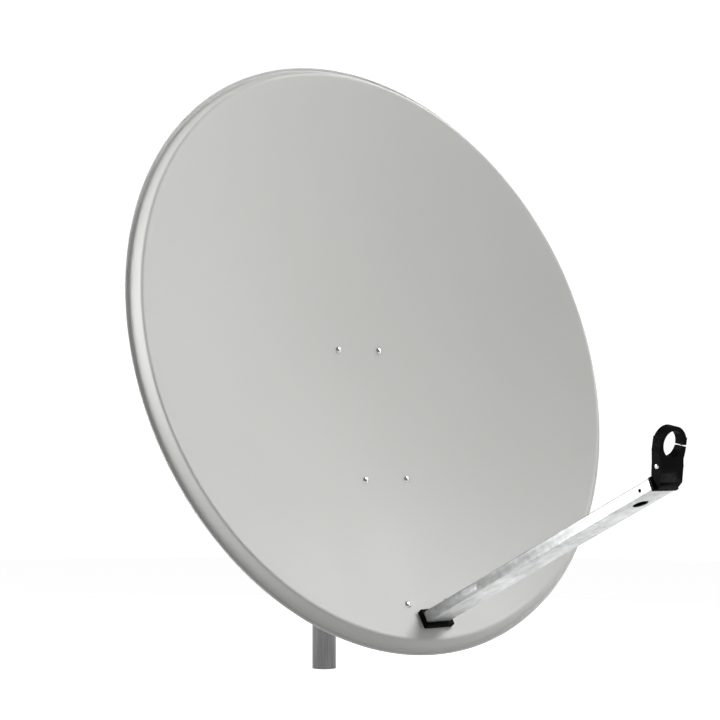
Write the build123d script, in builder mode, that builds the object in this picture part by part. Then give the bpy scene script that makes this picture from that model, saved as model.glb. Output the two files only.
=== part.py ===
from build123d import *
from math import acos, cos, radians, sin, sqrt
import os

# Offset satellite dish on a short mast: pressed steel reflector, rear bracket with an
# elevation hinge, mast clamp that turns round the mast, feed arm and LNB holder.
# Millimetres. +Z runs up the mast, the origin is the centre of the mast's foot,
# and the dish faces -Y.

# Driving dimensions
HALF_WIDTH = 490.0         # half width of the reflector at its front edge
HALF_HEIGHT = 529.2        # half height of the reflector at its front edge
FOCAL = 650.0              # focal length of the paraboloid
SKIN = 1.0                 # thickness of the reflector sheet
SKIRT_OUT = 13.0           # how far the skirt flares outward
RIM_OUT = 21.7             # outer edge of the rolled lip, outward of the front edge
RIM_BACK = 22.7            # lip behind the front edge
LEAN = 17.07               # reflector leans back by this, degrees
RIM_Y = -194.0             # centre of the front edge, ahead of the mast's axis
RIM_Z = 590.0              # centre of the front edge, above the mast's foot
MAST_D = 44.5
MAST_WALL = 2.0
MAST_TOP = 548.0
SOCKET_DEPTH = 120.0       # groove above the foot
ARM_W = 50.0
ARM_H = 20.0
ARM_WALL = 1.5
ARM_Y = -694.0             # a point of the arm's centre line
ARM_Z = 282.7
ARM_RISE = 24.04           # the arm climbs by this, degrees
ARM_REAR = -481.0          # rear end of the arm, along its centre line
ARM_FRONT = 192.0          # front end of the arm
RING_Y = -885.6            # centre of the ring that holds the LNB
RING_Z = 421.5
RING_DIP = 10.5            # the ring's axis looks up at the reflector by this, degrees
COLLAR_R = 20.3            # bore for the 40 mm neck of an LNB
RING_R = 27.0
RING_BACK = -9.5           # ring's rear and front faces, from the centre
RING_FRONT = 7.5
SPLIT = 2.5                # joint of the clamp cap, below the ring's centre
GAP = 2.4                  # open gap under the cap's right leg
PLATE = 2.5                # galvanised sheet of the brackets
WEB_N = -96.0              # front face of the rear bracket's web, behind the front edge
BRACKET_HALF = 60.0        # half width of the rear bracket
PIVOT_V = -70.0            # elevation pivot, up the reflector and behind its edge
PIVOT_N = -142.0
LOCK_RADIUS = 78.0         # from the pivot to the lock bolts
TURN = 18.0                # elevation range each way, degrees
EAR_HALF = 63.0            # half width of the mast bracket
MAST_WEB_Y = -33.0         # rear face of the mast bracket's web
UPPER_BOLT_U = 45.4
UPPER_BOLT_V = 18.8
MIDDLE_BOLT_V = -227.5
LOWER_BOLT_U = 42.3
LOWER_BOLT_V = -461.3
SUPPORT_HALF = 28.0        # half width of the arm support
ARM_BOLT_1 = -206.0        # bolts that join the arm support to the rear bracket
ARM_BOLT_2 = -240.0
ARM_CROSS_1 = -432.0       # bolts across the arm, along its centre line
ARM_CROSS_2 = -464.0
DIMPLE_S = -246.0          # dimples in the sides of the arm
DIMPLE_R = 6.5
DIMPLE_DEEP = 0.9
PLUG_HOLE = 168.0
CABLE_HOLE = 138.0         # cable outlet under the arm
SLOT_V = -489.5            # slot in the reflector for the arm
SLOT_W = 54.0
SLOT_H = 26.0
FRAME_W = 60.0
FRAME_H = 33.0
FRAME_PROUD = 10.0
FRAME_SIDE = 2.0           # frame's centre, off the arm's centre
FRAME_DROP = 2.5
HOLDER_HALF = 23.7         # half width of the holder at its cross bolt
SCREW_X = 23.7
NUT_LOW = 10.0
HOLDER_BOLT_Y = -33.5
HOLDER_BOLT_N = 3.0
CLAMP_X = 36.5
CLAMP_Z = (405.0, 508.0)
PIVOT_PLAY = 0.05
CLEAR = 0.3

os.makedirs("parts", exist_ok=True)

# Shape of the paraboloid, seen from the plane of the front edge
offset = acos(HALF_WIDTH / HALF_HEIGHT)
low = 2 * FOCAL * sin(offset) / cos(offset)
high = (HALF_WIDTH**2 + low**2) / (4 * FOCAL)
lean = radians(LEAN)
rise = radians(ARM_RISE)
dip = radians(RING_DIP)


def depth(u, v):
    """Height of the reflecting face over the plane of the front edge."""
    run = v * cos(offset) + low
    b = 2 * sin(offset) * run + 4 * FOCAL * cos(offset)
    c = run**2 + u**2 - 4 * FOCAL * (v * sin(offset) + high)
    return (b - sqrt(b**2 - 4 * sin(offset) ** 2 * c)) / (2 * sin(offset) ** 2)


# DISH has its x across, its y up the reflector and its z out of its mouth
DISH = Plane(origin=(0, RIM_Y, RIM_Z), x_dir=(1, 0, 0), z_dir=(0, -cos(lean), sin(lean)))
FLANK = Plane(origin=(0, RIM_Y, RIM_Z), x_dir=(0, sin(lean), cos(lean)), z_dir=(1, 0, 0))
ARM = Plane(origin=(0, ARM_Y, ARM_Z), x_dir=(1, 0, 0), z_dir=(0, -cos(rise), sin(rise)))
RING = Plane(origin=(0, RING_Y, RING_Z), x_dir=(1, 0, 0), z_dir=(0, -cos(dip), -sin(dip)))
SIDE = Plane(origin=(0, 0, 0), x_dir=(0, 1, 0), z_dir=(1, 0, 0))
vertex = DISH.from_local_coords(
    Vector(0, -low * cos(offset) - high * sin(offset), low * sin(offset) - high * cos(offset))
)
up_face = FLANK.from_local_coords(Vector(cos(offset), -sin(offset), 0)) - FLANK.origin
beam = FLANK.from_local_coords(Vector(sin(offset), cos(offset), 0)) - FLANK.origin
BOWL = Plane(origin=vertex, x_dir=up_face, z_dir=(1, 0, 0))
pivot = FLANK.from_local_coords(Vector(PIVOT_V, PIVOT_N, 0))
lock = pivot - Vector(0, 0, LOCK_RADIUS)

# Lower bolts stand square to the reflector's face
foot_n = depth(0, LOWER_BOLT_V)
slope = (depth(0, LOWER_BOLT_V + 1) - depth(0, LOWER_BOLT_V - 1)) / 2
foot_at = DISH.from_local_coords(Vector(0, LOWER_BOLT_V, foot_n))
foot_up = FLANK.from_local_coords(Vector(-slope, 1, 0)) - FLANK.origin
FOOT = Plane(origin=foot_at, x_dir=(1, 0, 0), z_dir=foot_up)

# The arm's slot lies square to the face as well
slot_slope = (depth(0, SLOT_V + 1) - depth(0, SLOT_V - 1)) / 2
slot_at = DISH.from_local_coords(Vector(0, SLOT_V, depth(0, SLOT_V)))
slot_up = FLANK.from_local_coords(Vector(-slot_slope, 1, 0)) - FLANK.origin
SLOT = Plane(origin=slot_at, x_dir=(1, 0, 0), z_dir=slot_up)
ALONG = Plane(origin=ARM.origin, x_dir=ARM.z_dir, z_dir=(1, 0, 0))
UNDER = Plane(origin=ARM.origin, x_dir=ARM.z_dir, z_dir=-ARM.y_dir)
RING_TOP = Plane(origin=RING.origin, x_dir=(1, 0, 0), z_dir=RING.y_dir)
SIDE_RING = Plane(origin=RING.origin, x_dir=RING.y_dir, z_dir=(1, 0, 0))
FRONT = Plane(origin=(0, MAST_WEB_Y, 0), x_dir=(1, 0, 0), z_dir=(0, -1, 0))
clamp_spots = [(x, z) for x in (-CLAMP_X, CLAMP_X) for z in CLAMP_Z]
vee = (MAST_D / 2 + CLEAR) * sqrt(2)

# ---- Mast ----
with BuildPart() as mast_tube:
    with BuildSketch(Plane.XY):
        Circle(MAST_D / 2)
        Circle(MAST_D / 2 - MAST_WALL, mode=Mode.SUBTRACT)
    extrude(amount=MAST_TOP)
    # Groove that marks how deep the foot goes into a socket
    with BuildSketch(Plane.XY.offset(SOCKET_DEPTH)):
        Circle(MAST_D / 2 + 1)
        Circle(MAST_D / 2 - 0.6, mode=Mode.SUBTRACT)
    extrude(amount=2, mode=Mode.SUBTRACT)

with BuildPart() as mast_cap:
    with BuildSketch(Plane.XY.offset(MAST_TOP - 20)):
        Circle(MAST_D / 2 + 2.2)
    extrude(amount=23)
    fillet(mast_cap.edges().group_by(Axis.Z)[-1], 2)
    with BuildSketch(Plane.XY.offset(MAST_TOP - 20)):
        Circle(MAST_D / 2 + 0.05)
    extrude(amount=20, mode=Mode.SUBTRACT)

# ---- Reflector ----
REACH = 1300.0
rise_at_reach = REACH**2 / (4 * FOCAL)
back_drop = SKIN * sqrt(1 + (REACH / (2 * FOCAL)) ** 2)

with BuildPart() as bowl_skin:
    with BuildSketch(BOWL):
        with BuildLine():
            Bezier((0, 0), (REACH / 2, 0), (REACH, rise_at_reach))
            Line((REACH, rise_at_reach), (REACH, rise_at_reach - back_drop))
            Bezier((REACH, rise_at_reach - back_drop), (REACH / 2, -SKIN), (0, -SKIN))
            Line((0, -SKIN), (0, 0))
        make_face()
    revolve(axis=Axis(vertex, beam), revolution_arc=360)

with BuildPart() as behind_face:
    with BuildSketch(BOWL):
        with BuildLine():
            Bezier((0, 0), (REACH / 2, 0), (REACH, rise_at_reach))
            Line((REACH, rise_at_reach), (REACH, -400))
            Line((REACH, -400), (0, -400))
            Line((0, -400), (0, 0))
        make_face()
    revolve(axis=Axis(vertex, beam), revolution_arc=360)

with BuildPart() as before_back:
    with BuildSketch(BOWL):
        with BuildLine():
            Bezier((0, -SKIN), (REACH / 2, -SKIN), (REACH, rise_at_reach - back_drop))
            Line((REACH, rise_at_reach - back_drop), (REACH, rise_at_reach + 400))
            Line((REACH, rise_at_reach + 400), (0, rise_at_reach + 400))
            Line((0, rise_at_reach + 400), (0, -SKIN))
        make_face()
    revolve(axis=Axis(vertex, beam), revolution_arc=360)


upper_spots = [(UPPER_BOLT_U, UPPER_BOLT_V), (-UPPER_BOLT_U, UPPER_BOLT_V)]
middle_spots = [(UPPER_BOLT_U, MIDDLE_BOLT_V), (-UPPER_BOLT_U, MIDDLE_BOLT_V)]
lower_spots = [(LOWER_BOLT_U, 0), (-LOWER_BOLT_U, 0)]

with BuildPart() as reflector:
    add(bowl_skin.part)
    with BuildSketch(DISH.offset(-160)):
        Ellipse(HALF_WIDTH, HALF_HEIGHT)
    extrude(amount=165, mode=Mode.INTERSECT)
    # Bead at the front edge, flared skirt and rolled lip, swept round the ellipse
    with BuildLine(DISH):
        rim_path = EllipticalCenterArc((0, 0), HALF_WIDTH, HALF_HEIGHT, 0, arc_size=360)
    with BuildSketch(Plane(origin=rim_path @ 0, x_dir=(1, 0, 0), z_dir=rim_path % 0)):
        with Locations((0.2, 2.0)):
            Circle(2.0)
        with BuildLine():
            Polyline(
                (0.2, 3.0),
                (1.6, 1.6),
                (SKIRT_OUT + 0.6, RIM_BACK - 1.2),
                (RIM_OUT - 2, RIM_BACK - 1.2),
                (RIM_OUT - 2, RIM_BACK),
                (SKIRT_OUT - 0.1, RIM_BACK),
                close=True,
            )
        make_face()
        with Locations((RIM_OUT - 2.0, RIM_BACK - 1.0)):
            Circle(2.0)
    sweep(path=rim_path)
    # Holes for the bolts and the slot for the arm
    with BuildSketch(DISH.offset(-160)):
        with Locations(*upper_spots, *middle_spots):
            Circle(3.3)
    extrude(amount=165, mode=Mode.SUBTRACT)
    with BuildSketch(FOOT.offset(-12)):
        with Locations(*lower_spots):
            Circle(3.3)
    extrude(amount=24, mode=Mode.SUBTRACT)
    with BuildSketch(SLOT.offset(-12)):
        Rectangle(SLOT_W, SLOT_H)
    extrude(amount=24, mode=Mode.SUBTRACT)

with BuildPart() as arm_grommet:
    with BuildSketch(SLOT.offset(-2)):
        with Locations((FRAME_SIDE, -FRAME_DROP)):
            RectangleRounded(FRAME_W, FRAME_H, 2)
    extrude(amount=FRAME_PROUD + 2)
    chamfer(arm_grommet.edges().group_by(Axis(SLOT.origin, SLOT.z_dir))[-1], 1)
    add(behind_face.part, mode=Mode.SUBTRACT)
    with BuildSketch(SLOT.offset(-5)):
        Rectangle(SLOT_W - 0.6, SLOT_H - 0.6)
    extrude(amount=9)
    with BuildSketch(ARM.offset(-440)):
        Rectangle(ARM_W + 0.6, ARM_H + 0.6)
    extrude(amount=80, mode=Mode.SUBTRACT)

# ---- Rear bracket, bolted to the reflector over four spacers ----
web_back = WEB_N - PLATE
flange_line = [
    (45, WEB_N),
    (45, -112),
    (-35, -153),
    (-58, -160),
    (-84, -160),
    (-118, -174),
    (-135, -178),
    (-152, -178),
    (-162, -168),
    (-250, -112),
    (-255, WEB_N),
]

with BuildPart() as rear_bracket:
    with BuildSketch(DISH.offset(web_back)):
        with Locations((0, -105)):
            Rectangle(2 * BRACKET_HALF, 300)
        with Locations(*upper_spots, *middle_spots):
            Circle(3.3, mode=Mode.SUBTRACT)
        with Locations((0, -10), (0, -120)):
            SlotOverall(56, 34, rotation=90, mode=Mode.SUBTRACT)
        with Locations((0, ARM_BOLT_1), (0, ARM_BOLT_2)):
            Circle(4.2, mode=Mode.SUBTRACT)
    extrude(amount=PLATE)
    with BuildSketch(FLANK.offset(BRACKET_HALF - PLATE), FLANK.offset(-BRACKET_HALF)):
        with BuildLine():
            Polyline(*flange_line, close=True)
        make_face()
        with Locations((PIVOT_V, PIVOT_N)):
            Circle(4.2, mode=Mode.SUBTRACT)
        with Locations(FLANK.to_local_coords(lock)):
            Circle(4.2, mode=Mode.SUBTRACT)
    extrude(amount=PLATE)

with BuildPart() as reflector_spacers:
    with BuildSketch(DISH.offset(WEB_N)):
        with Locations(*upper_spots, *middle_spots):
            Circle(11)
            Circle(3.3, mode=Mode.SUBTRACT)
    extrude(amount=45)
    add(before_back.part, mode=Mode.SUBTRACT)

with BuildPart() as reflector_bolts:
    for spots, v in ((upper_spots, UPPER_BOLT_V), (middle_spots, MIDDLE_BOLT_V)):
        face_n = depth(UPPER_BOLT_U, v)
        with BuildSketch(DISH.offset(face_n - 3)):
            with Locations(*spots):
                Circle(6)
        extrude(amount=6)
        fillet(reflector_bolts.edges().group_by(Axis(DISH.origin, DISH.z_dir))[-1], 1.8)
    add(behind_face.part, mode=Mode.SUBTRACT)
    for spots, v in ((upper_spots, UPPER_BOLT_V), (middle_spots, MIDDLE_BOLT_V)):
        face_n = depth(UPPER_BOLT_U, v)
        with BuildSketch(DISH.offset(web_back - 10)):
            with Locations(*spots):
                Circle(3)
        extrude(amount=face_n - web_back + 10.5)

with BuildPart() as reflector_nuts:
    with BuildSketch(DISH.offset(web_back - 1.2)):
        with Locations(*upper_spots, *middle_spots):
            Circle(7)
            Circle(3, mode=Mode.SUBTRACT)
    extrude(amount=1.2)
    with BuildSketch(DISH.offset(web_back - 6.5)):
        with Locations(*upper_spots, *middle_spots):
            RegularPolygon(5.77, 6)
            Circle(3, mode=Mode.SUBTRACT)
    extrude(amount=5.3)

# ---- Arm support: channel from the rear bracket down to the arm ----
foot_face = -SKIN - 0.45
with BuildPart() as arm_support:
    with BuildSketch(DISH.offset(web_back - PLATE)):
        with Locations((0, -353)):
            Rectangle(2 * SUPPORT_HALF, 326)
        with Locations((0, ARM_BOLT_1), (0, ARM_BOLT_2)):
            Circle(4.2, mode=Mode.SUBTRACT)
    extrude(amount=PLATE)
    with BuildSketch(FLANK.offset(SUPPORT_HALF - PLATE), FLANK.offset(-SUPPORT_HALF)):
        with BuildLine():
            Polyline(
                (-258, web_back - PLATE),
                (-258, -93),
                (-300, -82),
                (-430, -52),
                (-447, -30.2),
                (-474, -21.4),
                (-480, -36),
                (-514, -30),
                (-520, -38),
                (-520, -88),
                (-514, web_back - PLATE),
                close=True,
            )
        make_face()
    extrude(amount=PLATE)
    with BuildSketch(FOOT.offset(foot_face - PLATE)):
        with Locations((SUPPORT_HALF + 13, 0), (-SUPPORT_HALF - 13, 0)):
            Rectangle(31, 27)
        with Locations(*lower_spots):
            Circle(3.3, mode=Mode.SUBTRACT)
    extrude(amount=PLATE)
    with BuildSketch(ALONG.offset(-SUPPORT_HALF - 1)):
        with Locations((ARM_CROSS_1, 0), (ARM_CROSS_2, 0)):
            Circle(4.2)
    extrude(amount=2 * SUPPORT_HALF + 2, mode=Mode.SUBTRACT)

with BuildPart() as support_bolts:
    with BuildSketch(DISH.offset(WEB_N)):
        with Locations((0, ARM_BOLT_1), (0, ARM_BOLT_2)):
            RegularPolygon(7.5, 6)
    extrude(amount=5.3)
    with BuildSketch(DISH.offset(WEB_N - 18)):
        with Locations((0, ARM_BOLT_1), (0, ARM_BOLT_2)):
            Circle(4)
    extrude(amount=18)

with BuildPart() as support_nuts:
    with BuildSketch(DISH.offset(web_back - PLATE - 1.6)):
        with Locations((0, ARM_BOLT_1), (0, ARM_BOLT_2)):
            Circle(8.5)
            Circle(4, mode=Mode.SUBTRACT)
    extrude(amount=1.6)
    with BuildSketch(DISH.offset(web_back - PLATE - 8)):
        with Locations((0, ARM_BOLT_1), (0, ARM_BOLT_2)):
            RegularPolygon(7.5, 6)
            Circle(4, mode=Mode.SUBTRACT)
    extrude(amount=6.4)

with BuildPart() as foot_bolts:
    with BuildSketch(FOOT.offset(-2)):
        with Locations(*lower_spots):
            Circle(6)
    extrude(amount=5.6)
    fillet(foot_bolts.edges().group_by(Axis(FOOT.origin, FOOT.z_dir))[-1], 1.8)
    add(behind_face.part, mode=Mode.SUBTRACT)
    with BuildSketch(FOOT.offset(foot_face - PLATE - 10)):
        with Locations(*lower_spots):
            Circle(3)
    extrude(amount=PLATE - foot_face + 11)

with BuildPart() as foot_nuts:
    with BuildSketch(FOOT.offset(foot_face - PLATE - 1.2)):
        with Locations(*lower_spots):
            Circle(7)
            Circle(3, mode=Mode.SUBTRACT)
    extrude(amount=1.2)
    with BuildSketch(FOOT.offset(foot_face - PLATE - 6.5)):
        with Locations(*lower_spots):
            RegularPolygon(5.77, 6)
            Circle(3, mode=Mode.SUBTRACT)
    extrude(amount=5.3)

# ---- Feed arm: rectangular steel tube ----
with BuildPart() as feed_arm:
    with BuildSketch(ARM.offset(ARM_REAR)):
        RectangleRounded(ARM_W, ARM_H, 2.5)
        RectangleRounded(ARM_W - 2 * ARM_WALL, ARM_H - 2 * ARM_WALL, 1, mode=Mode.SUBTRACT)
    extrude(amount=ARM_FRONT - ARM_REAR)
    with BuildSketch(ALONG.offset(-ARM_W)):
        with Locations((ARM_CROSS_1, 0), (ARM_CROSS_2, 0)):
            Circle(4.2)
        with Locations((PLUG_HOLE, 0)):
            Circle(3)
    extrude(amount=2 * ARM_W, mode=Mode.SUBTRACT)
    # Round locating dimples pressed in both sides
    dimple_r = (DIMPLE_R**2 + DIMPLE_DEEP**2) / (2 * DIMPLE_DEEP)
    for side in (-1, 1):
        across = side * (ARM_W / 2 - DIMPLE_DEEP + dimple_r)
        with Locations(ALONG.from_local_coords(Vector(DIMPLE_S, 0, across))):
            Sphere(dimple_r, mode=Mode.SUBTRACT)
    with BuildSketch(UNDER):
        with Locations((CABLE_HOLE, 0)):
            Circle(12.5)
    extrude(amount=ARM_H, mode=Mode.SUBTRACT)

with BuildPart() as arm_rear_plug:
    with BuildSketch(ARM.offset(ARM_REAR - 3)):
        RectangleRounded(ARM_W, ARM_H, 2.5)
        Circle(4.5, mode=Mode.SUBTRACT)
    extrude(amount=3)
    with BuildSketch(ARM.offset(ARM_REAR)):
        RectangleRounded(ARM_W - 2 * ARM_WALL - 0.4, ARM_H - 2 * ARM_WALL - 0.4, 1.2)
        Rectangle(ARM_W - 2 * ARM_WALL - 4.4, ARM_H - 2 * ARM_WALL - 4.4, mode=Mode.SUBTRACT)
    extrude(amount=11)

with BuildPart() as arm_cross_bolts:
    with BuildSketch(ALONG.offset(-SUPPORT_HALF - 5.3)):
        with Locations((ARM_CROSS_1, 0), (ARM_CROSS_2, 0)):
            RegularPolygon(7.5, 6)
    extrude(amount=5.3)
    with BuildSketch(ALONG.offset(-SUPPORT_HALF)):
        with Locations((ARM_CROSS_1, 0), (ARM_CROSS_2, 0)):
            Circle(4)
    extrude(amount=2 * SUPPORT_HALF + 12)

with BuildPart() as arm_cross_nuts:
    with BuildSketch(ALONG.offset(SUPPORT_HALF)):
        with Locations((ARM_CROSS_1, 0), (ARM_CROSS_2, 0)):
            Circle(8.5)
            Circle(4, mode=Mode.SUBTRACT)
    extrude(amount=1.6)
    with BuildSketch(ALONG.offset(SUPPORT_HALF + 1.6)):
        with Locations((ARM_CROSS_1, 0), (ARM_CROSS_2, 0)):
            RegularPolygon(7.5, 6)
            Circle(4, mode=Mode.SUBTRACT)
    extrude(amount=6.4)

# ---- LNB holder on the end of the arm ----
holder_side = [
    (-SPLIT, RING_BACK),
    (-SPLIT, RING_FRONT),
    (-22, RING_FRONT),
    (-32, 10.5),
    (-56, 13.6),
    (-65, 9),
    (-70, 2),
    (-51, -7.2),
    (-45, -8),
    (-12, RING_BACK),
]
half_front = [(RING_R, 5), (RING_R, -10), (24, -30), (22.3, -56), (18, -72)]

with BuildPart() as lnb_holder:
    with BuildSketch(SIDE_RING.offset(-RING_R)):
        with BuildLine():
            Polyline(*holder_side, close=True)
        make_face()
    extrude(amount=2 * RING_R)
    with BuildSketch(RING.offset(-40)):
        with BuildLine():
            Polyline(*half_front, *[(-u, v) for u, v in reversed(half_front)], close=True)
        make_face()
    extrude(amount=80, mode=Mode.INTERSECT)
    with BuildSketch(ARM.offset(ARM_FRONT - 60)):
        Rectangle(ARM_W + 0.1, ARM_H + 0.1)
    extrude(amount=60, mode=Mode.SUBTRACT)
    with BuildSketch(ARM.offset(ARM_FRONT)):
        RectangleRounded(ARM_W + 2, ARM_H + 2, 2.5)
    extrude(amount=5)
    with BuildSketch(ARM.offset(ARM_FRONT - 42)):
        RectangleRounded(ARM_W - 2 * ARM_WALL - 0.4, ARM_H - 2 * ARM_WALL - 0.4, 1.2)
        Rectangle(ARM_W - 2 * ARM_WALL - 5.4, ARM_H - 2 * ARM_WALL - 5.4, mode=Mode.SUBTRACT)
    extrude(amount=43)
    with BuildSketch(UNDER):
        with Locations((CABLE_HOLE, 0)):
            Circle(13.5)
    extrude(amount=ARM_H, mode=Mode.SUBTRACT)
    with BuildSketch(RING.offset(-40)):
        Circle(COLLAR_R)
    extrude(amount=80, mode=Mode.SUBTRACT)
    # Open gap under the cap's right leg, pocket for its tongue under the left one
    with BuildSketch(RING.offset(-40)):
        with Locations((RING_R, -SPLIT)):
            Rectangle(2 * RING_R, GAP)
        with Locations((-SCREW_X, -SPLIT - 4)):
            Rectangle(2.8, 8.6)
    extrude(amount=80, mode=Mode.SUBTRACT)
    # Pocket for the square nut and bore for the screw that draws the ring shut
    with BuildSketch(RING_TOP.offset(-NUT_LOW - 2.8)):
        with Locations((SCREW_X + 0.8, 0)):
            Rectangle(8, 6.3)
    extrude(amount=2.8, mode=Mode.SUBTRACT)
    with BuildSketch(RING_TOP.offset(-20)):
        with Locations((SCREW_X, 0)):
            Circle(1.9)
    extrude(amount=19, mode=Mode.SUBTRACT)
    with BuildSketch(SIDE_RING.offset(-40)):
        with Locations((HOLDER_BOLT_Y, HOLDER_BOLT_N)):
            Circle(2.65)
    extrude(amount=80, mode=Mode.SUBTRACT)
    # Flats for the bolt's head and nut
    with BuildSketch(SIDE_RING.offset(-HOLDER_HALF - 5), SIDE_RING.offset(HOLDER_HALF)):
        with Locations((HOLDER_BOLT_Y, HOLDER_BOLT_N)):
            Circle(5)
    extrude(amount=5, mode=Mode.SUBTRACT)

with BuildPart() as lnb_clamp_cap:
    with BuildSketch(RING.offset(RING_BACK)):
        Circle(RING_R)
        with Locations((0, 3)):
            Rectangle(2 * RING_R, 14)
        with Locations((-RING_R, -SPLIT - RING_R)):
            Rectangle(2 * RING_R, 2 * RING_R, mode=Mode.SUBTRACT)
        with Locations((RING_R, -SPLIT + GAP / 2 - RING_R)):
            Rectangle(2 * RING_R, 2 * RING_R, mode=Mode.SUBTRACT)
        with Locations((-SCREW_X, -SPLIT - 3)):
            Rectangle(2.4, 7)
        Circle(COLLAR_R, mode=Mode.SUBTRACT)
    extrude(amount=RING_FRONT - RING_BACK)
    with BuildSketch(RING_TOP.offset(9)):
        with Locations((SCREW_X + 1.4, 0)):
            Rectangle(9.6, 8)
    extrude(amount=12, mode=Mode.SUBTRACT)
    with BuildSketch(RING_TOP.offset(-5)):
        with Locations((SCREW_X, 0)):
            Circle(1.9)
    extrude(amount=17, mode=Mode.SUBTRACT)

with BuildPart() as lnb_clamp_screw:
    with BuildSketch(RING_TOP.offset(9)):
        with Locations((SCREW_X, 0)):
            Circle(3.2)
    extrude(amount=2.6)
    with BuildSketch(RING_TOP.offset(-17)):
        with Locations((SCREW_X, 0)):
            Circle(1.75)
    extrude(amount=26)

with BuildPart() as lnb_clamp_nut:
    with BuildSketch(RING_TOP.offset(-NUT_LOW - 2.6)):
        with Locations((SCREW_X, 0)):
            Rectangle(6, 6)
            Circle(1.75, mode=Mode.SUBTRACT)
    extrude(amount=2.4)

with BuildPart() as holder_bolt:
    with BuildSketch(SIDE_RING.offset(-HOLDER_HALF - 3.2)):
        with Locations((HOLDER_BOLT_Y, HOLDER_BOLT_N)):
            Circle(4.3)
    extrude(amount=3.2)
    with BuildSketch(SIDE_RING.offset(-HOLDER_HALF)):
        with Locations((HOLDER_BOLT_Y, HOLDER_BOLT_N)):
            Circle(2.5)
    extrude(amount=2 * HOLDER_HALF + 6.5)

with BuildPart() as holder_nut:
    with BuildSketch(SIDE_RING.offset(HOLDER_HALF)):
        with Locations((HOLDER_BOLT_Y, HOLDER_BOLT_N)):
            RegularPolygon(4.62, 6)
            Circle(2.5, mode=Mode.SUBTRACT)
    extrude(amount=4.5)

# ---- Mast bracket with the elevation ears, clamped to the mast ----
ear_line = [
    (MAST_WEB_Y, 536),
    (-50, 536),
    (-88, 502),
    (-98, 482),
    (-104, 446),
    (-124, 418),
    (-124, 398),
    (-108, 384),
    (-79, 378),
    (-50, 380),
    (MAST_WEB_Y, 384),
]

with BuildPart() as mast_bracket:
    with BuildSketch(FRONT):
        with Locations((0, 460)):
            Rectangle(2 * EAR_HALF, 152)
            SlotOverall(60, 30, rotation=90, mode=Mode.SUBTRACT)
        with Locations(*clamp_spots):
            Circle(4.3, mode=Mode.SUBTRACT)
    extrude(amount=PLATE)
    with BuildSketch(SIDE.offset(EAR_HALF - PLATE), SIDE.offset(-EAR_HALF)):
        with BuildLine():
            Polyline(*ear_line, close=True)
        make_face()
        with Locations((pivot.Y, pivot.Z)):
            Circle(4 + PIVOT_PLAY, mode=Mode.SUBTRACT)
        with BuildLine(mode=Mode.PRIVATE) as slot_path:
            CenterArc((pivot.Y, pivot.Z), LOCK_RADIUS, -90 - TURN, 2 * TURN)
        SlotArc(slot_path.edges()[0], 2 * (4 + CLEAR), mode=Mode.SUBTRACT)
    extrude(amount=PLATE)

with BuildPart() as elevation_scale:
    with BuildSketch(SIDE.offset(-EAR_HALF - 0.8)):
        with Locations((pivot.Y, pivot.Z)):
            Circle(99)
            Circle(89, mode=Mode.SUBTRACT)
        with BuildLine():
            Polyline(
                (pivot.Y, pivot.Z),
                (pivot.Y - 150 * sin(radians(TURN + 5)), pivot.Z - 150 * cos(radians(TURN + 5))),
                (pivot.Y + 150 * sin(radians(TURN + 5)), pivot.Z - 150 * cos(radians(TURN + 5))),
                close=True,
            )
        make_face(mode=Mode.INTERSECT)
    extrude(amount=0.8)

with BuildPart() as mast_saddles:
    for z in CLAMP_Z:
        with BuildSketch(Plane.XY.offset(z - 15)):
            with BuildLine():
                Polyline(
                    (-27, MAST_WEB_Y),
                    (27, MAST_WEB_Y),
                    (27, -10),
                    (vee - 10, -10),
                    (0, -vee),
                    (10 - vee, -10),
                    (-27, -10),
                    close=True,
                )
            make_face()
        extrude(amount=30)

with BuildPart() as clamp_jaws:
    for z in CLAMP_Z:
        with BuildSketch(Plane.XY.offset(z - 15)):
            with BuildLine():
                Polyline(
                    (-49, 6),
                    (6 - vee, 6),
                    (0, vee),
                    (vee - 6, 6),
                    (49, 6),
                    (49, 10),
                    (vee - 4.3, 10),
                    (0, vee + 5.7),
                    (4.3 - vee, 10),
                    (-49, 10),
                    close=True,
                )
            make_face()
        extrude(amount=30)
    with BuildSketch(FRONT.offset(-60)):
        with Locations(*clamp_spots):
            Circle(4.3)
    extrude(amount=60, mode=Mode.SUBTRACT)

with BuildPart() as clamp_bolts:
    with BuildSketch(FRONT.offset(PLATE)):
        with Locations(*clamp_spots):
            Circle(8.2)
    extrude(amount=4.4)
    fillet(clamp_bolts.edges().group_by(Axis.Y)[0], 3)
    with BuildSketch(FRONT.offset(PLATE + 0.5)):
        with Locations(*clamp_spots):
            Circle(4)
    extrude(amount=-(PLATE + 0.5) - 62)

with BuildPart() as clamp_washers:
    with BuildSketch(FRONT.offset(MAST_WEB_Y - 10)):
        with Locations(*clamp_spots):
            Circle(8)
            Circle(4, mode=Mode.SUBTRACT)
    extrude(amount=-1.6)

with BuildPart() as clamp_nuts:
    with BuildSketch(FRONT.offset(MAST_WEB_Y - 11.6)):
        with Locations(*clamp_spots):
            RegularPolygon(7.5, 6)
            Circle(4, mode=Mode.SUBTRACT)
    extrude(amount=-6.5)

# ---- Elevation hardware, carried by the rear bracket ----
face = EAR_HALF + 0.15
pin_spots = [(pivot.Y, pivot.Z), (lock.Y, lock.Z)]

with BuildPart() as elevation_washers:
    with BuildSketch(SIDE.offset(face), SIDE.offset(-face - 1.6)):
        with Locations(*pin_spots):
            Circle(9.5)
            Circle(4, mode=Mode.SUBTRACT)
    extrude(amount=1.6)

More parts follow.
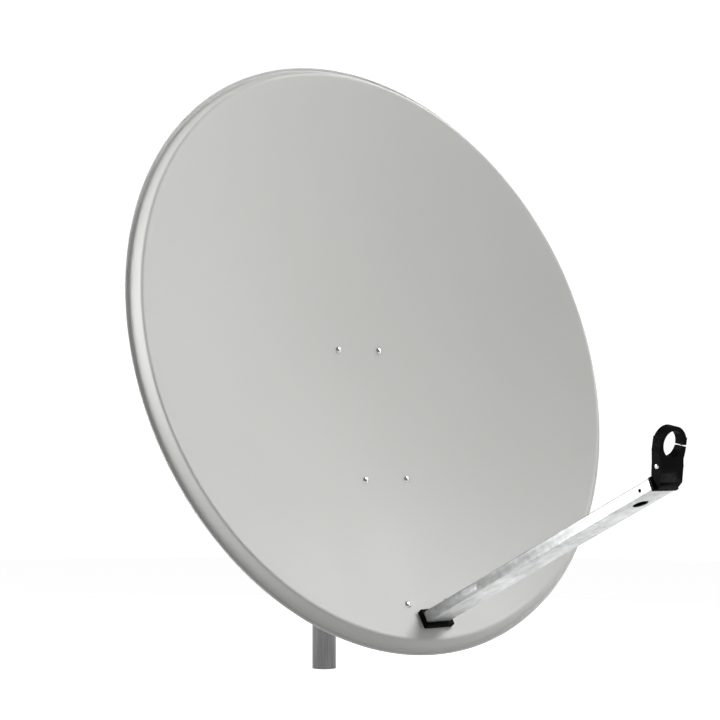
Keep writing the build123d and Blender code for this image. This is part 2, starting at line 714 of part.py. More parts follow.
with BuildPart() as elevation_pointer:
    with BuildSketch(SIDE.offset(-face - 2.6)):
        with Locations((lock.Y, lock.Z)):
            Circle(9.5)
        with BuildLine():
            Polyline((lock.Y - 6, lock.Z), (lock.Y, lock.Z - 19), (lock.Y + 6, lock.Z), close=True)
        make_face()
        with Locations((lock.Y, lock.Z)):
            Circle(4, mode=Mode.SUBTRACT)
    extrude(amount=1)

with BuildPart() as elevation_bolts:
    with BuildSketch(SIDE.offset(face + 1.6), SIDE.offset(-face - 2.6 - 5.3)):
        with Locations((lock.Y, lock.Z)):
            RegularPolygon(7.5, 6)
    extrude(amount=5.3)
    with BuildSketch(SIDE.offset(face + 1.6), SIDE.offset(-face - 1.6 - 5.3)):
        with Locations((pivot.Y, pivot.Z)):
            RegularPolygon(7.5, 6)
    extrude(amount=5.3)
    with BuildSketch(SIDE.offset(46), SIDE.offset(-face - 3)):
        with Locations(*pin_spots):
            Circle(4)
    extrude(amount=face + 3 - 46)

with BuildPart() as elevation_nuts:
    with BuildSketch(SIDE.offset(BRACKET_HALF - PLATE - 1.6), SIDE.offset(PLATE - BRACKET_HALF)):
        with Locations(*pin_spots):
            Circle(8.5)
            Circle(4, mode=Mode.SUBTRACT)
    extrude(amount=1.6)
    with BuildSketch(SIDE.offset(BRACKET_HALF - PLATE - 8), SIDE.offset(PLATE - BRACKET_HALF + 1.6)):
        with Locations(*pin_spots):
            RegularPolygon(7.5, 6)
            Circle(4, mode=Mode.SUBTRACT)
    extrude(amount=6.4)

# ---- Write the pieces ----
mast_tube.part.label = "mast_tube"
export_step(mast_tube.part, "parts/mast_tube.step")
mast_cap.part.label = "mast_cap"
export_step(mast_cap.part, "parts/mast_cap.step")
reflector.part.label = "reflector"
export_step(reflector.part, "parts/reflector.step")
arm_grommet.part.label = "arm_grommet"
export_step(arm_grommet.part, "parts/arm_grommet.step")
rear_bracket.part.label = "rear_bracket"
export_step(rear_bracket.part, "parts/rear_bracket.step")
reflector_spacers.part.label = "reflector_spacers"
export_step(reflector_spacers.part, "parts/reflector_spacers.step")
reflector_bolts.part.label = "reflector_bolts"
export_step(reflector_bolts.part, "parts/reflector_bolts.step")
reflector_nuts.part.label = "reflector_nuts"
export_step(reflector_nuts.part, "parts/reflector_nuts.step")
arm_support.part.label = "arm_support"
export_step(arm_support.part, "parts/arm_support.step")
support_bolts.part.label = "support_bolts"
export_step(support_bolts.part, "parts/support_bolts.step")
support_nuts.part.label = "support_nuts"
export_step(support_nuts.part, "parts/support_nuts.step")
foot_bolts.part.label = "foot_bolts"
export_step(foot_bolts.part, "parts/foot_bolts.step")
foot_nuts.part.label = "foot_nuts"
export_step(foot_nuts.part, "parts/foot_nuts.step")
feed_arm.part.label = "feed_arm"
export_step(feed_arm.part, "parts/feed_arm.step")
arm_rear_plug.part.label = "arm_rear_plug"
export_step(arm_rear_plug.part, "parts/arm_rear_plug.step")
arm_cross_bolts.part.label = "arm_cross_bolts"
export_step(arm_cross_bolts.part, "parts/arm_cross_bolts.step")
arm_cross_nuts.part.label = "arm_cross_nuts"
export_step(arm_cross_nuts.part, "parts/arm_cross_nuts.step")
lnb_holder.part.label = "lnb_holder"
export_step(lnb_holder.part, "parts/lnb_holder.step")
lnb_clamp_cap.part.label = "lnb_clamp_cap"
export_step(lnb_clamp_cap.part, "parts/lnb_clamp_cap.step")
lnb_clamp_screw.part.label = "lnb_clamp_screw"
export_step(lnb_clamp_screw.part, "parts/lnb_clamp_screw.step")
lnb_clamp_nut.part.label = "lnb_clamp_nut"
export_step(lnb_clamp_nut.part, "parts/lnb_clamp_nut.step")
holder_bolt.part.label = "holder_bolt"
export_step(holder_bolt.part, "parts/holder_bolt.step")
holder_nut.part.label = "holder_nut"
export_step(holder_nut.part, "parts/holder_nut.step")
mast_bracket.part.label = "mast_bracket"
export_step(mast_bracket.part, "parts/mast_bracket.step")
elevation_scale.part.label = "elevation_scale"
export_step(elevation_scale.part, "parts/elevation_scale.step")
mast_saddles.part.label = "mast_saddles"
export_step(mast_saddles.part, "parts/mast_saddles.step")
clamp_jaws.part.label = "clamp_jaws"
export_step(clamp_jaws.part, "parts/clamp_jaws.step")
clamp_bolts.part.label = "clamp_bolts"
export_step(clamp_bolts.part, "parts/clamp_bolts.step")
clamp_washers.part.label = "clamp_washers"
export_step(clamp_washers.part, "parts/clamp_washers.step")
clamp_nuts.part.label = "clamp_nuts"
export_step(clamp_nuts.part, "parts/clamp_nuts.step")
elevation_washers.part.label = "elevation_washers"
export_step(elevation_washers.part, "parts/elevation_washers.step")
elevation_pointer.part.label = "elevation_pointer"
export_step(elevation_pointer.part, "parts/elevation_pointer.step")
elevation_bolts.part.label = "elevation_bolts"
export_step(elevation_bolts.part, "parts/elevation_bolts.step")
elevation_nuts.part.label = "elevation_nuts"
export_step(elevation_nuts.part, "parts/elevation_nuts.step")
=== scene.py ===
import math
import random

import bmesh
import bpy
from mathutils import Matrix, Vector


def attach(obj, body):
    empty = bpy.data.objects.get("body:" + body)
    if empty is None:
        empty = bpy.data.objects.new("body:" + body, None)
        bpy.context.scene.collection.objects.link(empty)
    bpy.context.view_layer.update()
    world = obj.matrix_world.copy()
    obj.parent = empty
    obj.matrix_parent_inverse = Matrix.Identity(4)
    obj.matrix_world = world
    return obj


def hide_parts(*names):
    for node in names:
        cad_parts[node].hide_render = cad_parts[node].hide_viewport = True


# An offset satellite dish on its mast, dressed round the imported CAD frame.
# +Z runs up the mast and the dish faces -Y. Blender works in metres; lengths
# in this script are in millimetres unless a docstring says otherwise.
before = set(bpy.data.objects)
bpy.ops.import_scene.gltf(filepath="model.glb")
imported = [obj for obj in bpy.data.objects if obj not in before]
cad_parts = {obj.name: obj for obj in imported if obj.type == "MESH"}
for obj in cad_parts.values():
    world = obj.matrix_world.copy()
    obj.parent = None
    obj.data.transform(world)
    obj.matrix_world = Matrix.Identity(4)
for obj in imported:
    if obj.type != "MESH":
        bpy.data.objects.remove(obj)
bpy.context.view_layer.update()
rng = random.Random(7)
MM = 0.001

# ------------------------------------------------------------ geometry, as in the CAD
HALF_WIDTH, HALF_HEIGHT, FOCAL = 490.0, 529.2, 650.0
SKIN = 1.05    # along the dish's axis, for a sheet 1 thick
LEAN = math.radians(17.07)
RIM = Vector((0, -194.0, 590.0))
ARM_AT, ARM_RISE = Vector((0, -694.0, 282.7)), math.radians(24.04)
RING_AT, RING_DIP = Vector((0, -885.6, 421.5)), math.radians(10.5)
RING_R = 27
PIVOT_AT, LOCK_AT = Vector((0, -78.803, 481.401)), Vector((0, -78.803, 403.401))
BEAM_AT_REST = 39.3
FACE_BOLTS = ((45.4, 18.8), (-45.4, 18.8), (45.4, -227.5), (-45.4, -227.5))
FOOT_BOLT_U, FOOT_BOLT_V = 42.3, -461.3
WEB_FRONT, WEB_BACK = -96, -98.5
SUPPORT_BACK = -101
HOLDER_HALF = 23.7
HOLDER_BOLT_UP, HOLDER_BOLT_OUT = -33.5, 3

# The bowl's front edge is a plane cut of the paraboloid, tilted by SQUINT
SQUINT = math.acos(HALF_WIDTH / HALF_HEIGHT)
LOW = 2 * FOCAL * math.tan(SQUINT)
HIGH = (HALF_WIDTH**2 + LOW**2) / (4 * FOCAL)

SIDE = Vector((1, 0, 0))
DISH_V = Vector((0, math.sin(LEAN), math.cos(LEAN)))
DISH_N = Vector((0, -math.cos(LEAN), math.sin(LEAN)))
ARM_S = Vector((0, -math.cos(ARM_RISE), math.sin(ARM_RISE)))
ARM_UP = Vector((0, math.sin(ARM_RISE), math.cos(ARM_RISE)))
RING_OUT = Vector((0, -math.cos(RING_DIP), -math.sin(RING_DIP)))
RING_UP = Vector((0, -math.sin(RING_DIP), math.cos(RING_DIP)))
HALF_TURN = Matrix.Rotation(math.pi, 4, "X")

# M8 hexagon hardware and the M6 nuts: radii, width across flats, heights
M8, M8_HOLE, M8_ACROSS, M8_HEAD, M8_WASHER, M8_WASHER_HIGH = 4.0, 4.1, 13.0, 5.3, 8.5, 1.6
M6, M6_HOLE, M6_ACROSS, M6_NUT_TOP, M6_WASHER, M6_WASHER_HIGH = 3.0, 3.15, 10.0, 6.4, 7.0, 1.2


def depth(u, v):
    """Height of the reflecting face over the plane of its front edge."""
    run = v * math.cos(SQUINT) + LOW
    b = 2 * math.sin(SQUINT) * run + 4 * FOCAL * math.cos(SQUINT)
    c = run**2 + u**2 - 4 * FOCAL * (v * math.sin(SQUINT) + HIGH)
    return (b - math.sqrt(b**2 - 4 * math.sin(SQUINT) ** 2 * c)) / (2 * math.sin(SQUINT) ** 2)


def dish(u, v, n):
    """World point, in metres, of dish coordinates."""
    return (RIM + SIDE * u + DISH_V * v + DISH_N * n) * MM


def arm(s, up=0.0, across=0.0):
    """World point, in metres, of arm coordinates."""
    return (ARM_AT + ARM_S * s + ARM_UP * up + SIDE * across) * MM


def ring_at(u, up, out):
    """World point, in metres, of the LNB ring's coordinates."""
    return (RING_AT + SIDE * u + RING_UP * up + RING_OUT * out) * MM


def face_normal(u, v):
    """Unit normal of the reflecting face, towards the feed."""
    du = dish(u + 1, v, depth(u + 1, v)) - dish(u - 1, v, depth(u - 1, v))
    dv = dish(u, v + 1, depth(u, v + 1)) - dish(u, v - 1, depth(u, v - 1))
    return du.cross(dv).normalized()


# ------------------------------------------------------------ node helpers
def nodes_of(name):
    mat = bpy.data.materials.new(name)
    mat.use_nodes = True
    tree = mat.node_tree
    return mat, tree, tree.nodes["Principled BSDF"]


def add(tree, kind, inputs=(), **properties):
    """A node with its properties and its input sockets set."""
    node = tree.nodes.new(kind)
    for key, value in properties.items():
        setattr(node, key, value)
    for key, value in dict(inputs).items():
        node.inputs[key].default_value = value
    return node


def link(tree, a, a_out, b, b_in):
    tree.links.new(a.outputs[a_out], b.inputs[b_in])


def coords(tree, rotation=(0, 0, 0), scale=(1, 1, 1)):
    """Object coordinates, turned and stretched."""
    turn = add(tree, "ShaderNodeMapping", {"Rotation": rotation, "Scale": scale})
    link(tree, add(tree, "ShaderNodeTexCoord"), "Object", turn, "Vector")
    return turn


def noise(tree, place, scale, detail=3.0, rough=0.5):
    node = add(tree, "ShaderNodeTexNoise", {"Scale": scale, "Detail": detail, "Roughness": rough})
    link(tree, place, "Vector", node, "Vector")
    return node


def span(tree, source, out, low, high, to_low, to_high):
    """Maps a value from one range to another, clamped."""
    node = add(tree, "ShaderNodeMapRange",
               {"From Min": low, "From Max": high, "To Min": to_low, "To Max": to_high})
    link(tree, source, out, node, "Value")
    return node


def blend_colour(tree, factor, factor_out, first, second):
    """Mixes two colours by a value; the first may be a (node, output) pair."""
    node = add(tree, "ShaderNodeMix", {7: (*second, 1)}, data_type="RGBA")
    link(tree, factor, factor_out, node, 0)
    if isinstance(first[0], bpy.types.Node):
        link(tree, first[0], first[1], node, 6)
    else:
        node.inputs[6].default_value = (*first, 1)
    return node


def tint(tree, shader, source, low, high, first, second):
    """Base colour that goes from one tone to another with a noise."""
    tone = span(tree, source, "Fac", low, high, 0.0, 1.0)
    link(tree, blend_colour(tree, tone, "Result", first, second), 2, shader, "Base Color")


def dull(tree, shader, source, low, high, low_rough, high_rough):
    """Roughness that goes from one value to another with a noise."""
    rough = span(tree, source, "Fac", low, high, low_rough, high_rough)
    link(tree, rough, "Result", shader, "Roughness")


def bump(tree, shader, source, out, strength, distance, under=None):
    node = add(tree, "ShaderNodeBump", {"Strength": strength, "Distance": distance})
    link(tree, source, out, node, "Height")
    if under:
        link(tree, under, "Normal", node, "Normal")
    if shader:
        link(tree, node, "Normal", shader, "Normal")
    return node


# ------------------------------------------------------------ materials
def powder_coat():
    """Light grey powder coat: soft tone drift, orange peel, a few specks of dust."""
    mat, tree, shader = nodes_of("powder_coat_grey")
    place = coords(tree)
    tone = span(tree, noise(tree, place, 2.2, 2.0), "Fac", 0.3, 0.7, 0.0, 1.0)
    base = blend_colour(tree, tone, "Result", (0.560, 0.562, 0.540), (0.585, 0.586, 0.566))
    speck = span(tree, noise(tree, place, 900.0, 1.0), "Fac", 0.74, 0.80, 0.0, 0.35)
    paint = blend_colour(tree, speck, "Result", (base, 2), (0.42, 0.42, 0.40))
    link(tree, paint, 2, shader, "Base Color")
    dull(tree, shader, noise(tree, place, 9.0, 4.0), 0.3, 0.7, 0.40, 0.50)
    bump(tree, shader, noise(tree, place, 420.0, 2.0), "Fac", 0.10, 0.0003)
    return mat


def zinc(name, dark, light, low_rough, high_rough, grain=(1, 1, 1), turn=(0, 0, 0)):
    """Galvanised steel: crystals, drawn streaks and dull patches."""
    mat, tree, shader = nodes_of(name)
    place = coords(tree, turn, grain)
    flake = add(tree, "ShaderNodeTexVoronoi", {"Scale": 110.0})
    warp = noise(tree, coords(tree), 60.0, 2.0)
    offset = add(tree, "ShaderNodeVectorMath", {1: (0.006, 0.006, 0.006)}, operation="MULTIPLY_ADD")
    link(tree, warp, "Color", offset, 0)
    link(tree, coords(tree), "Vector", offset, 2)
    link(tree, offset, "Vector", flake, "Vector")
    parts = add(tree, "ShaderNodeSeparateColor")
    link(tree, flake, "Color", parts, "Color")
    patch = noise(tree, place, 16.0, 5.0, 0.62)
    tone = add(tree, "ShaderNodeMath", {1: 0.30}, operation="MULTIPLY_ADD")
    link(tree, parts, "Red", tone, 0)
    link(tree, span(tree, patch, "Fac", 0.32, 0.68, 0.0, 0.70), "Result", tone, 2)
    link(tree, blend_colour(tree, tone, 0, dark, light), 2, shader, "Base Color")
    shader.inputs["Metallic"].default_value = 1.0
    rough = add(tree, "ShaderNodeMath", {1: 0.10}, operation="MULTIPLY_ADD")
    link(tree, parts, "Green", rough, 0)
    link(tree, span(tree, patch, "Fac", 0.30, 0.70, high_rough, low_rough), "Result", rough, 2)
    link(tree, rough, 0, shader, "Roughness")
    first = bump(tree, None, noise(tree, place, 700.0, 3.0), "Fac", 0.16, 0.0002)
    bump(tree, shader, parts, "Blue", 0.05, 0.0002, first)
    return mat


def drawn_tube():
    """Smooth drawn tube: dark and glossy, with faint streaks down its length."""
    mat, tree, shader = nodes_of("drawn_tube")
    place = coords(tree, scale=(6, 6, 0.25))
    streak = noise(tree, place, 40.0, 4.0, 0.6)
    tint(tree, shader, streak, 0.35, 0.68, (0.115, 0.115, 0.118), (0.17, 0.17, 0.172))
    shader.inputs["Metallic"].default_value = 1.0
    dull(tree, shader, streak, 0.3, 0.7, 0.09, 0.15)
    bump(tree, shader, noise(tree, place, 260.0, 2.0), "Fac", 0.05, 0.0001)
    return mat


def bright_zinc():
    """Bright zinc plating on small hardware."""
    mat, tree, shader = nodes_of("bright_zinc")
    place = coords(tree)
    stain = noise(tree, place, 130.0, 3.0)
    tint(tree, shader, stain, 0.35, 0.7, (0.66, 0.67, 0.69), (0.50, 0.51, 0.50))
    shader.inputs["Metallic"].default_value = 1.0
    dull(tree, shader, stain, 0.3, 0.7, 0.16, 0.30)
    bump(tree, shader, noise(tree, place, 1500.0, 2.0), "Fac", 0.08, 0.0001)
    return mat


def black_plastic():
    """Moulded black plastic with a fine sparked grain and paler scuffs."""
    mat, tree, shader = nodes_of("black_plastic")
    place = coords(tree)
    scuff = noise(tree, place, 45.0, 5.0, 0.6)
    tint(tree, shader, scuff, 0.45, 0.75, (0.0015, 0.0015, 0.0016), (0.004, 0.004, 0.004))
    dull(tree, shader, scuff, 0.3, 0.7, 0.40, 0.56)
    shader.inputs["Specular IOR Level"].default_value = 0.03
    bump(tree, shader, noise(tree, place, 1600.0, 2.0), "Fac", 0.22, 0.0002)
    return mat


def cast_metal():
    """Die-cast saddle: matt with a coarse skin."""
    mat, tree, shader = nodes_of("cast_metal")
    place = coords(tree)
    skin = noise(tree, place, 60.0, 5.0, 0.6)
    tint(tree, shader, skin, 0.35, 0.7, (0.50, 0.51, 0.52), (0.64, 0.65, 0.66))
    shader.inputs["Metallic"].default_value = 1.0
    dull(tree, shader, skin, 0.3, 0.7, 0.46, 0.62)
    bump(tree, shader, noise(tree, place, 380.0, 4.0), "Fac", 0.35, 0.0005)
    return mat


def satin_plate():
    """Anodised scale plate, brushed."""
    mat, tree, shader = nodes_of("satin_plate")
    brush = noise(tree, coords(tree, scale=(1, 1, 14)), 180.0, 3.0)
    tint(tree, shader, brush, 0.3, 0.7, (0.74, 0.74, 0.73), (0.82, 0.82, 0.81))
    shader.inputs["Metallic"].default_value = 0.9
    dull(tree, shader, brush, 0.3, 0.7, 0.34, 0.44)
    return mat


def dark_ink():
    """Ink of the scale's marks and figures."""
    mat, tree, shader = nodes_of("dark_ink")
    worn = noise(tree, coords(tree), 300.0, 3.0)
    tint(tree, shader, worn, 0.4, 0.7, (0.012, 0.012, 0.014), (0.03, 0.03, 0.032))
    shader.inputs["Roughness"].default_value = 0.6
    return mat


POWDER = powder_coat()
PLASTIC = black_plastic()
BRIGHT = bright_zinc()
CAST = cast_metal()
PLATE = satin_plate()
INK = dark_ink()
# The arm's streaks run along the arm
ZINC_ARM = zinc("galvanised_arm", (0.30, 0.305, 0.31), (0.62, 0.63, 0.63), 0.26, 0.46,
                (1.6, 0.30, 1.6), (ARM_RISE, 0, 0))
ZINC_SHEET = zinc("galvanised_sheet", (0.30, 0.305, 0.31), (0.50, 0.505, 0.51), 0.32, 0.52)
TUBE = drawn_tube()


# ------------------------------------------------------------ mesh helpers
def smooth(mesh, angle):
    """Smooth shading with creases kept above an angle in degrees."""
    for poly in mesh.polygons:
        poly.use_smooth = True
    bm = bmesh.new()
    bm.from_mesh(mesh)
    limit = math.radians(angle)
    for edge in bm.edges:
        edge.smooth = len(edge.link_faces) == 2 and edge.calc_face_angle(0.0) < limit
    bm.to_mesh(mesh)
    bm.free()


def make(name, bm, material, body, node, angle=35.0):
    """Turns a bmesh into a piece that rides a body and stands for a CAD node."""
    bmesh.ops.recalc_face_normals(bm, faces=bm.faces[:])
    mesh = bpy.data.meshes.new(name)
    bm.to_mesh(mesh)
    bm.free()
    obj = bpy.data.objects.new(name, mesh)
    bpy.context.scene.collection.objects.link(obj)
    mesh.materials.append(material)
    smooth(mesh, angle)
    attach(obj, body)
    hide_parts(node)
    return obj


def from_cad(node, name, material, body, slot, width, segments, angle=30.0, bends=(), extra=None):
    """A copy of a CAD node with its flat faces joined up and its edges rounded.

    Each bend is a test of a point on the bend line, and the radius there.
    """
    bm = bmesh.new()
    bm.from_mesh(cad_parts[node].data)
    bmesh.ops.remove_doubles(bm, verts=bm.verts[:], dist=2e-6)
    bmesh.ops.dissolve_limit(bm, angle_limit=math.radians(0.2), verts=bm.verts[:],
                             edges=bm.edges[:], delimit={"NORMAL"})
    for on_line, radius in bends:
        lines = [e for e in bm.edges
                 if all(on_line(v.co / MM) for v in e.verts) and e.calc_length() > 3 * MM]
        if lines:
            bmesh.ops.bevel(bm, geom=lines, offset=radius * MM, offset_type="OFFSET", segments=5,
                            profile=0.5, affect="EDGES", clamp_overlap=True)
    for face in bm.faces:
        face.material_index = 0
    if extra:
        extra(bm)
    obj = make(name, bm, material, body, node)
    edge = obj.modifiers.new("edges", "BEVEL")
    edge.width = width * MM
    edge.segments = segments
    edge.limit_method = "ANGLE"
    edge.angle_limit = math.radians(angle)
    edge.harden_normals = True
    return obj


def ring_faces(bm, loops, close_ends=False):
    """Joins a list of closed vertex loops into a skin."""
    count = len(loops[0])
    for a, b in list(zip(loops, loops[1:])) + ([(loops[-1], loops[0])] if close_ends else []):
        for i in range(count):
            j = (i + 1) % count
            bm.faces.new((a[i], a[j], b[j], b[i]))


def circle(bm, place, z, count, radius):
    """A loop of vertices round place's Z; radius is a function of the angle."""
    loop = []
    for i in range(count):
        turn = 2 * math.pi * i / count
        r = radius(turn)
        loop.append(bm.verts.new(place @ Vector((r * MM * math.cos(turn),
                                                 r * MM * math.sin(turn), z * MM))))
    return loop


def basis(at, z, x=None):
    """A matrix, in metres, with its Z along z and its origin at a point."""
    z = z.normalized()
    x = x or (SIDE if abs(z.x) < 0.9 else Vector((0, 0, 1)))
    x = (x - z * x.dot(z)).normalized()
    mat = Matrix((x, z.cross(x), z)).transposed().to_4x4()
    mat.translation = at
    return mat


def lathe(bm, place, profile, segments=48):
    """Turns a closed profile of (radius, height), or one that ends on the axis, round place's Z."""
    rows = []
    for r, z in profile:
        if r < 1e-6:
            rows.append(bm.verts.new(place @ Vector((0, 0, z * MM))))
        else:
            rows.append(circle(bm, place, z, segments, lambda turn: r))
    poles = [isinstance(row, bmesh.types.BMVert) for row in rows]
    closed = not poles[0] and not poles[-1]
    steps = list(range(len(rows)))
    for a, b in zip(steps, steps[1:] + ([0] if closed else [])):
        for i in range(segments):
            j = (i + 1) % segments
            if poles[a] and poles[b]:
                continue
            if poles[a]:
                bm.faces.new((rows[a], rows[b][i], rows[b][j]))
            elif poles[b]:
                bm.faces.new((rows[a][i], rows[a][j], rows[b]))
            else:
                bm.faces.new((rows[a][i], rows[a][j], rows[b][j], rows[b][i]))


def thread(bm, place, radius, start, end, pitch, tip=0.8):
    """A threaded rod from start to end along place's Z, with a chamfered tip."""
    around, per_turn = 28, 8
    rows = max(2, int(abs(end - start) / pitch * per_turn))
    cut = pitch * 0.52
    loops = []
    for k in range(rows + 1):
        z = start + (end - start) * k / rows
        left = abs(end - z)

        def groove(turn):
            phase = (z / pitch - turn / (2 * math.pi)) % 1.0
            wave = abs(phase * 2 - 1)
            r = radius - cut * max(0.0, min(1.0, wave * 1.4 - 0.2))
            return min(r, radius - cut + left + 0.1) if left < tip else r

        loops.append(circle(bm, place, z, around, groove))
    ring_faces(bm, loops)
    bm.faces.new(loops[0])
    bm.faces.new(loops[-1])


def prism(bm, place, sides, inscribed, levels, count):
    """Loops of a regular polygon, each cut back to a limit; levels are (limit, height, round)."""
    step = 2 * math.pi / sides
    loops = []
    for limit, z, is_round in levels:
        def outline(turn):
            local = (turn + step / 2) % step - step / 2
            return limit if is_round else min(inscribed / math.cos(local), limit)
        loops.append(circle(bm, place, z, count, outline))
    return loops


def hexagon(bm, place, across, low, high, bore=0.0):
    """A hexagon with chamfered corners, bored if bore is a radius."""
    half = across / 2
    far = half / math.cos(math.pi / 6)
    lift = (far - half) * 0.62
    levels = [(half * 0.985, low, False), (far - 0.05, low + lift, False),
              (far - 0.05, high - lift, False), (half * 0.985, high, False)]
    if bore:
        levels = [(bore, low, True)] + levels + [(bore + 0.5, high, True), (bore, high - 0.5, True)]
    loops = prism(bm, place, 6, half, levels, 72)
    ring_faces(bm, loops, close_ends=bool(bore))
    if not bore:
        bm.faces.new(loops[0])
        bm.faces.new(loops[-1])


def square_nut(bm, place, side, high, bore):
    """A square nut with broken corners round a bore."""
    levels = ((bore, 0, True), (side * 0.62, 0, False), (side * 0.70, 0.3, False),
              (side * 0.70, high - 0.3, False), (side * 0.62, high, False), (bore, high, True))
    ring_faces(bm, prism(bm, place, 4, side / 2, levels, 64), close_ends=True)


def washer(bm, place, inner, outer, high, edge=0.25):
    lathe(bm, place, [(inner, 0), (outer - edge, 0), (outer, edge), (outer, high - edge),
                      (outer - edge, high), (inner, high)], 56)


def machine_screw(bm, place, radius, head_r, head_h, length):
    """A pan-head screw: head above place with a round recess, shank below."""
    lathe(bm, place, [
        (0, head_h - 1.4), (head_r * 0.22, head_h - 1.2), (head_r * 0.34, head_h - 0.05),
        (head_r * 0.62, head_h - 0.25), (head_r * 0.86, head_h * 0.66),
        (head_r * 0.98, head_h * 0.34), (head_r, 0.12), (head_r - 0.15, 0), (0, 0)], 40)
    thread(bm, place @ HALF_TURN, radius, -0.4, length, 0.8)


def hex_bolt(bm, place, length):
    """An M8 hexagon bolt: head above place, threaded shank below."""
    hexagon(bm, place, M8_ACROSS, 0, M8_HEAD)
    thread(bm, place @ HALF_TURN, M8, -0.6, length, M8 * 0.31)


# ------------------------------------------------------------ reflector
def build_reflector():
    """Pressed sheet: bowl, rounded front edge, flared skirt, rolled lip and the back."""
    bm = bmesh.new()
    rings, around, inset = 34, 360, 7.0
    # Sections of the edge as (outward, height) of the front edge's ellipse
    front = [(-5.2, -1.75), (-3.4, -1.28), (-1.8, -1.02), (-0.4, -1.0), (0.8, -1.35),
             (1.9, -2.15), (2.9, -3.4), (3.9, -4.95), (6.2, -8.8), (9.2, -13.9), (12.0, -18.7),
             (12.8, -20.0), (13.6, -20.9), (14.6, -21.35), (15.8, -21.5), (16.9, -21.4),
             (17.8, -20.95)]
    bead = [(19.7 + 2.0 * math.cos(math.radians(a)), -22.0 + 2.0 * math.sin(math.radians(a)))
            for a in range(140, -121, -20)]
    back = [(18.2, -23.0), (16.8, -22.6), (14.4, -22.4), (13.2, -21.9), (12.2, -21.0),
            (11.4, -19.6), (8.3, -14.4), (5.2, -9.3), (3.0, -5.6), (1.9, -4.0), (0.7, -2.9),
            (-0.8, -2.3), (-2.8, -2.25), (-5.0, -2.75), (-inset, 0)]
    turns = [2 * math.pi * i / around for i in range(around)]

    def at_edge(turn, out):
        cu, cv = math.cos(turn), math.sin(turn)
        normal = Vector((cu / HALF_WIDTH, cv / HALF_HEIGHT)).normalized()
        return HALF_WIDTH * cu + normal.x * out, HALF_HEIGHT * cv + normal.y * out

    def bowl(k, drop):
        """One loop of the bowl, out of rings, dropped below the reflecting face."""
        f = (k / rings) ** 0.9
        loop = []
        for turn in turns:
            u, v = at_edge(turn, -inset)
            loop.append(bm.verts.new(dish(u * f, v * f, depth(u * f, v * f) - drop)))
        return loop

    def edge(out, n, drop):
        """One loop near the edge, which leaves the bowl's own slope smoothly."""
        loop = []
        for turn in turns:
            u, v = at_edge(turn, out)
            height = n
            if out < 0:
                mix = (out + inset) / inset
                height = (depth(u, v) - drop) * (1 - mix) + n * mix
            loop.append(bm.verts.new(dish(u, v, height)))
        return loop

    loops = [bowl(k, 0) for k in range(1, rings + 1)]
    loops += [edge(out, n, 0) for out, n in front + bead]
    loops += [edge(out, n, SKIN) for out, n in back]
    loops += [bowl(k, SKIN) for k in range(rings - 1, 0, -1)]
    ring_faces(bm, loops)
    for loop, drop in ((loops[0], 0), (loops[-1], SKIN)):
        middle = bm.verts.new(dish(0, 0, depth(0, 0) - drop))
        for i in range(around):
            bm.faces.new((loop[i], loop[(i + 1) % around], middle))
    make("reflector_skin", bm, POWDER, "dish", "reflector", angle=60)


# ------------------------------------------------------------ bolts on the face
DOME = [(0, 3.4), (1.7, 3.32), (3.2, 3.0), (4.5, 2.42), (5.5, 1.7), (6.1, 0.95), (6.4, 0.25),
        (6.4, -1.2), (0, -1.2)]


def m6_nut(bm, place):
    washer(bm, place, M6_HOLE, M6_WASHER, M6_WASHER_HIGH)
    hexagon(bm, place, M6_ACROSS, M6_WASHER_HIGH, M6_NUT_TOP, M6)


def face_bolts():
    """Domed M6 bolts through the reflector, with their nuts behind it."""
    bolts, nuts = bmesh.new(), bmesh.new()
    for u, v in FACE_BOLTS:
        n = depth(u, v)
        lathe(bolts, basis(dish(u, v, n), DISH_N), DOME, 40)
        rear = basis(dish(u, v, WEB_BACK), -DISH_N)
        thread(bolts, rear, M6, -(n - WEB_BACK), 9.6, 1.0)
        m6_nut(nuts, rear)
    make("reflector_bolt_heads", bolts, BRIGHT, "dish", "reflector_bolts")
    make("reflector_bolt_nuts", nuts, BRIGHT, "dish", "reflector_nuts")
    bolts, nuts = bmesh.new(), bmesh.new()
    slope = face_normal(0, FOOT_BOLT_V)
    foot = dish(0, FOOT_BOLT_V, depth(0, FOOT_BOLT_V))
    for u in (FOOT_BOLT_U, -FOOT_BOLT_U):
        at = foot + SIDE * u * MM
        lathe(bolts, basis(at + slope * 0.5 * MM, slope), DOME, 40)
        rear = basis(at - slope * 3.95 * MM, -slope)
        thread(bolts, rear, M6, -3.9, 9.4, 1.0)
        m6_nut(nuts, rear)
    make("foot_bolt_heads", bolts, BRIGHT, "dish", "foot_bolts")
    make("foot_bolt_nuts", nuts, BRIGHT, "dish", "foot_nuts")


# ------------------------------------------------------------ CAD copies with rounded edges
def grip(low, high):
    """Moulded finger ribs on the ring's outside at -X, between two heights."""
    def ribs(bm):
        for k in range(6):
            n = -7.8 + 2.75 * k
            rows = [[bm.verts.new(ring_at(-(RING_R + h), up, n + d))
                     for d, h in ((-0.75, -0.3), (-0.4, proud), (0.4, proud), (0.75, -0.3))]
                    for up, proud in ((low, -0.3), (low + 0.8, 0.55),
                                      (high - 0.8, 0.55), (high, -0.3))]
            ring_faces(bm, rows)
            bm.faces.new(rows[0])
            bm.faces.new(rows[-1])
    return ribs


